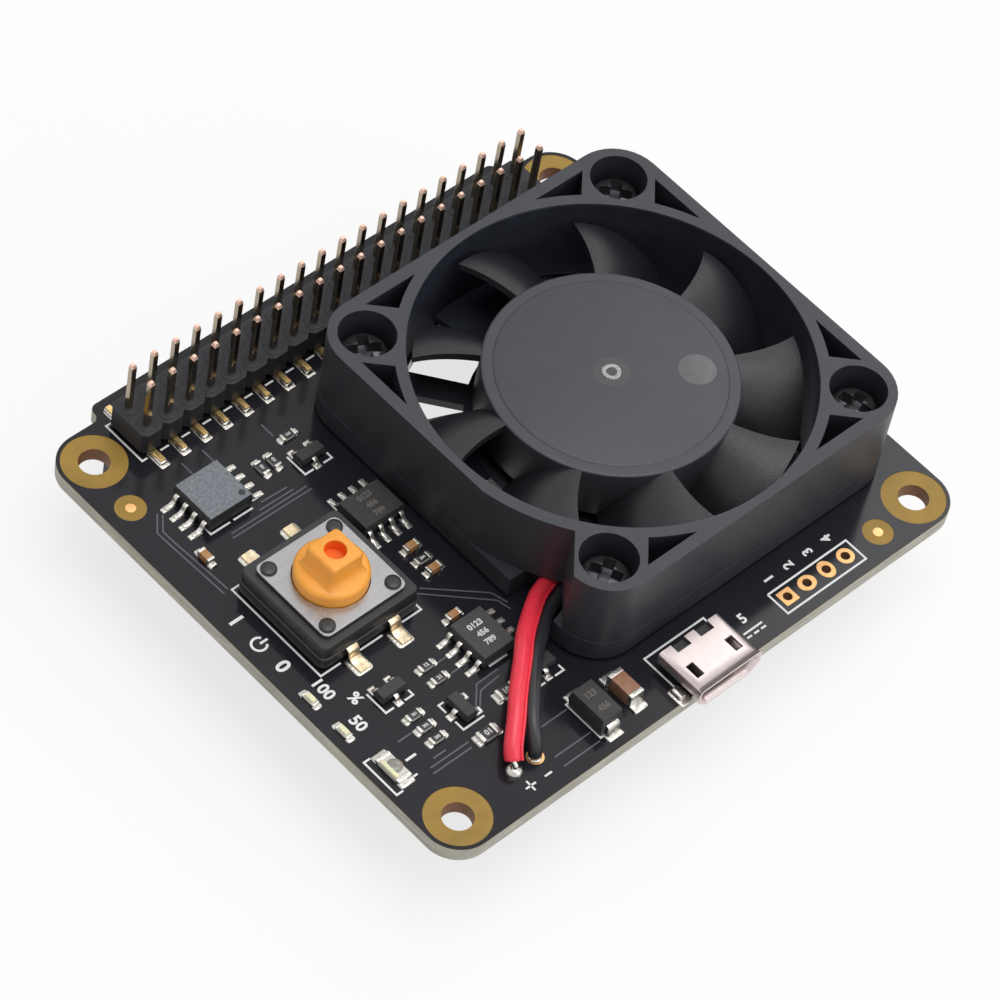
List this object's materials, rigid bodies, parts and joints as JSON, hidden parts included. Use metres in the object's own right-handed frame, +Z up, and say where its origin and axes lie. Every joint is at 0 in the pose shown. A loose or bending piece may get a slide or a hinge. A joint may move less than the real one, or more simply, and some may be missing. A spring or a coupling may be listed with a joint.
{
  "type": "fan and power add-on board",
  "caption": "Rectangular circuit board that stacks on a single-board computer by a socket below, with a square axial fan, a tall push button, a pin header and a micro power inlet on top.",
  "frame": {"origin": "middle of the board in plan, on the mating plane of the socket under it", "axes": "+X along the pin header, +Y from the power inlet's edge to the header's edge, +Z up out of the fan"},
  "size_m": [0.065, 0.059, 0.0207],
  "materials": {
    "lacquer": "satin black solder lacquer",
    "black_plastic": "satin black moulding",
    "fan_plastic": "satin black glass-filled moulding",
    "nickel": "bright nickel or tin plate",
    "steel": "plain bright steel",
    "black_steel": "blackened steel",
    "brass": "plain sintered bronze or brass",
    "magnet": "bonded ferrite",
    "winding": "enamelled copper on laminated steel",
    "orange_plastic": "satin orange moulding",
    "grey_mould": "matt grey moulding compound with tinned leads",
    "black_mould": "matt black moulding compound with tinned leads",
    "ceramic": "tan ceramic with tinned ends",
    "resistor_black": "black glaze with tinned ends",
    "clear_lens": "clear resin lens on a carrier",
    "red_cover": "red insulation with a tinned core",
    "black_cover": "black insulation with a tinned core"
  },
  "bodies": {
    "board_assembly": {"board": "lacquer", "capacitor_1": "ceramic", "capacitor_2": "ceramic", "capacitor_3": "ceramic", "capacitor_4": "ceramic", "control_chip": "grey_mould", "fan_frame": "fan_plastic", "fan_light_high": "clear_lens", "fan_light_low": "clear_lens", "fan_nut_1": "steel", "fan_nut_2": "steel", "fan_nut_3": "steel", "fan_nut_4": "steel", "fan_screw_1": "black_steel", "fan_screw_2": "black_steel", "fan_screw_3": "black_steel", "fan_screw_4": "black_steel", "inlet_capacitor": "ceramic", "inlet_diode": "black_mould", "inlet_insert": "black_plastic", "inlet_shell": "nickel", "minus_lead": "black_cover", "motor_board": "lacquer", "pin_header": "black_plastic", "plus_lead": "red_cover", "power_chip": "black_mould", "power_light": "clear_lens", "resistor_1": "resistor_black", "resistor_10": "resistor_black", "resistor_11": "resistor_black", "resistor_2": "resistor_black", "resistor_3": "resistor_black", "resistor_4": "resistor_black", "resistor_5": "resistor_black", "resistor_6": "resistor_black", "resistor_7": "resistor_black", "resistor_8": "resistor_black", "resistor_9": "resistor_black", "shaft_bearing": "brass", "stacking_socket": "black_plastic", "switch_body": "black_plastic", "switch_cover": "nickel", "switch_dome": "steel", "switch_terminal_1": "nickel", "switch_terminal_2": "nickel", "switch_terminal_3": "nickel", "switch_terminal_4": "nickel", "thermostat_chip": "black_mould", "transistor_1": "black_mould", "transistor_2": "black_mould", "transistor_3": "black_mould", "transistor_4": "black_mould", "wound_stator": "winding"},
    "rotor": {"fan_rotor": "fan_plastic", "magnet_ring": "magnet", "rotor_shaft": "steel"},
    "plunger": {"switch_plunger": "orange_plastic"}
  },
  "joints": [
    {"name": "fan_spin", "type": "hinge", "parent": "board_assembly", "child": "rotor", "pos_m": [0.01054, -0.0009, 0.015], "axis": [0, 0, 1], "continuous": true},
    {"name": "button_press", "type": "slide", "parent": "board_assembly", "child": "plunger", "axis": [0, 0, -1], "range_m": [0, 0.0003], "stiffness_N_per_m": 4000, "springref_m": -0.0003, "deforming": ["switch_dome"]}
  ]
}
